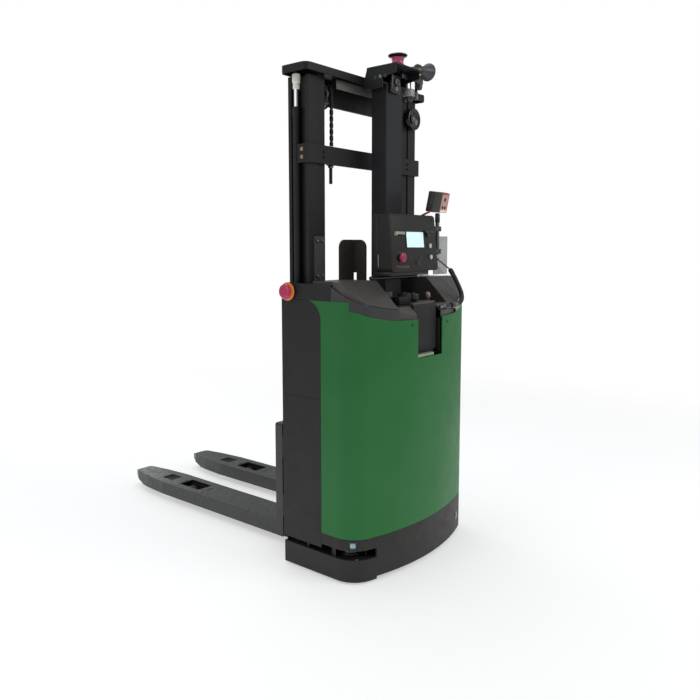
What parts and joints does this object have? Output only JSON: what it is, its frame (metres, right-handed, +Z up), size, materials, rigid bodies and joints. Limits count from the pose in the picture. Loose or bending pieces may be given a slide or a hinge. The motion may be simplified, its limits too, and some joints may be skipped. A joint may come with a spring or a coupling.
{
  "type": "autonomous pallet stacker",
  "caption": "Driverless fork-over pallet stacker with a two-stage lift mast, straddle legs under the forks, a steered drive wheel, a sensor post and a control box.",
  "frame": {"origin": "middle of the bounding box in plan, on the floor", "axes": "+Z up, +Y along the forks towards their tips, +X to the right seen from the rear cover"},
  "size_m": [0.922, 1.784, 2.137],
  "materials": {
    "green_cover": "satin paint",
    "charcoal_panel": "fine textured paint",
    "black_steel": "satin paint",
    "hood_plastic": "fine grain",
    "strip": "gloss",
    "fork_paint": "worn satin paint",
    "bare_steel": "machined",
    "chrome": "polished",
    "chain_steel": "oiled",
    "polyurethane": "smooth",
    "tyre": "matte",
    "cable_rubber": "matte",
    "sensor_black": "gloss",
    "sensor_window": "gloss",
    "lens_cyan": "translucent",
    "sensor_grey": "matte",
    "screen": "gloss",
    "stop_red": "gloss",
    "stop_yellow": "gloss",
    "button_white": "gloss",
    "clear_plate": "clear",
    "battery_case": "satin",
    "drive_iron": "painted"
  },
  "bodies": {
    "chassis": {"rear_cover": "green_cover", "rear_skirt": "black_steel", "corner_lights": "lens_cyan", "corner_scanner": "sensor_black", "side_skirts": "black_steel", "side_panels": "charcoal_panel", "shoulder_bands": "hood_plastic", "top_cover": "hood_plastic", "status_strips": "strip", "tiller_slot_cover": "charcoal_panel", "base_frame": "black_steel", "straddle_legs": "black_steel", "outer_uprights": "black_steel", "outer_ties": "black_steel", "cylinder_tubes": "black_steel", "chain_rear": "chain_steel", "mast_stays": "charcoal_panel", "work_lamp": "sensor_black", "sensor_post": "charcoal_panel", "head_bracket": "charcoal_panel", "lidar_window": "sensor_window", "lidar_cap": "sensor_black", "horn": "hood_plastic", "rear_camera": "sensor_black", "nav_sensor": "sensor_grey", "control_box": "charcoal_panel", "display_screen": "screen", "stop_collars": "stop_yellow", "signal_lamp": "sensor_window", "lamp_post": "bare_steel", "side_shield": "clear_plate", "grab_bar": "chrome", "box_cable": "cable_rubber", "battery": "battery_case", "hydraulic_unit": "drive_iron"},
    "inner_mast": {"inner_uprights": "black_steel", "mast_crosshead": "black_steel", "inner_cross": "black_steel", "cylinder_rods": "chrome", "chain_wraps": "chain_steel", "chain_front": "chain_steel"},
    "carriage": {"carriage": "black_steel", "fork_left": "fork_paint", "fork_right": "fork_paint"},
    "sheaves": {"chain_sheaves": "bare_steel"},
    "roller_left_rear": {"load_roller_left_rear": "polyurethane"},
    "roller_left_front": {"load_roller_left_front": "polyurethane"},
    "roller_right_rear": {"load_roller_right_rear": "polyurethane"},
    "roller_right_front": {"load_roller_right_front": "polyurethane"},
    "steering": {"drive_unit": "drive_iron"},
    "drive_wheel": {"drive_wheel": "polyurethane"},
    "caster": {"caster_fork": "bare_steel"},
    "caster_wheel": {"caster_wheel": "tyre"},
    "lidar": {"lidar_rotor": "sensor_black"},
    "panel_stop": {"panel_stop": "stop_red"},
    "side_stop_left": {"side_stop_left": "stop_red"},
    "side_stop_right": {"side_stop_right": "stop_red"},
    "button_high": {"button_high": "button_white"},
    "button_low": {"button_low": "button_white"},
    "key": {"key_switch": "bare_steel"}
  },
  "joints": [
    {"name": "mast_lift", "type": "slide", "parent": "chassis", "child": "inner_mast", "axis": [0, 0, 1], "range_m": [0, 1.37], "deforming": ["chain_rear"]},
    {"name": "carriage_lift", "type": "slide", "parent": "inner_mast", "child": "carriage", "axis": [0, 0, 1], "range_m": [0, 1.37], "deforming": ["chain_front"]},
    {"name": "sheave_turn", "type": "hinge", "parent": "inner_mast", "child": "sheaves", "pos_m": [0, -0.486, 1.95], "axis": [1, 0, 0], "range_deg": [0, 1420]},
    {"name": "roll_left_rear", "type": "hinge", "parent": "chassis", "child": "roller_left_rear", "pos_m": [-0.203, 0.373, 0.038], "axis": [1, 0, 0], "continuous": true},
    {"name": "roll_left_front", "type": "hinge", "parent": "chassis", "child": "roller_left_front", "pos_m": [-0.203, 0.455, 0.038], "axis": [1, 0, 0], "continuous": true},
    {"name": "roll_right_rear", "type": "hinge", "parent": "chassis", "child": "roller_right_rear", "pos_m": [0.203, 0.373, 0.038], "axis": [1, 0, 0], "continuous": true},
    {"name": "roll_right_front", "type": "hinge", "parent": "chassis", "child": "roller_right_front", "pos_m": [0.203, 0.455, 0.038], "axis": [1, 0, 0], "continuous": true},
    {"name": "drive_steer", "type": "hinge", "parent": "chassis", "child": "steering", "pos_m": [-0.12, -0.719, 0.25], "axis": [0, 0, 1], "range_deg": [-90, 90]},
    {"name": "drive_spin", "type": "hinge", "parent": "steering", "child": "drive_wheel", "pos_m": [-0.12, -0.719, 0.115], "axis": [1, 0, 0], "continuous": true},
    {"name": "caster_swivel", "type": "hinge", "parent": "chassis", "child": "caster", "pos_m": [0.215, -0.703, 0.25], "axis": [0, 0, 1], "continuous": true},
    {"name": "caster_spin", "type": "hinge", "parent": "caster", "child": "caster_wheel", "pos_m": [0.215, -0.741, 0.075], "axis": [1, 0, 0], "continuous": true},
    {"name": "lidar_spin", "type": "hinge", "parent": "chassis", "child": "lidar", "pos_m": [0.015, -0.703, 2.09], "axis": [0, 0, 1], "continuous": true},
    {"name": "press_panel_stop", "type": "slide", "parent": "chassis", "child": "panel_stop", "axis": [0, 1, 0], "range_m": [0, 0.005], "stiffness_N_per_m": 400, "springref_m": -0.002},
    {"name": "press_side_stop_left", "type": "slide", "parent": "chassis", "child": "side_stop_left", "axis": [1, 0, 0], "range_m": [0, 0.005], "stiffness_N_per_m": 400, "springref_m": -0.002},
    {"name": "press_side_stop_right", "type": "slide", "parent": "chassis", "child": "side_stop_right", "axis": [-1, 0, 0], "range_m": [0, 0.005], "stiffness_N_per_m": 400, "springref_m": -0.002},
    {"name": "press_button_high", "type": "slide", "parent": "chassis", "child": "button_high", "axis": [0, 1, 0], "range_m": [0, 0.003], "stiffness_N_per_m": 400, "springref_m": -0.002},
    {"name": "press_button_low", "type": "slide", "parent": "chassis", "child": "button_low", "axis": [0, 1, 0], "range_m": [0, 0.003], "stiffness_N_per_m": 400, "springref_m": -0.002},
    {"name": "turn_key", "type": "hinge", "parent": "chassis", "child": "key", "pos_m": [0.017, -0.811, 1.264], "axis": [0, 1, 0], "range_deg": [0, 90]}
  ],
  "couplings": [
    {"joint": "carriage_lift", "follows": "mast_lift", "ratio": 1},
    {"joint": "sheave_turn", "follows": "mast_lift", "rad_per_m": 17.921}
  ]
}
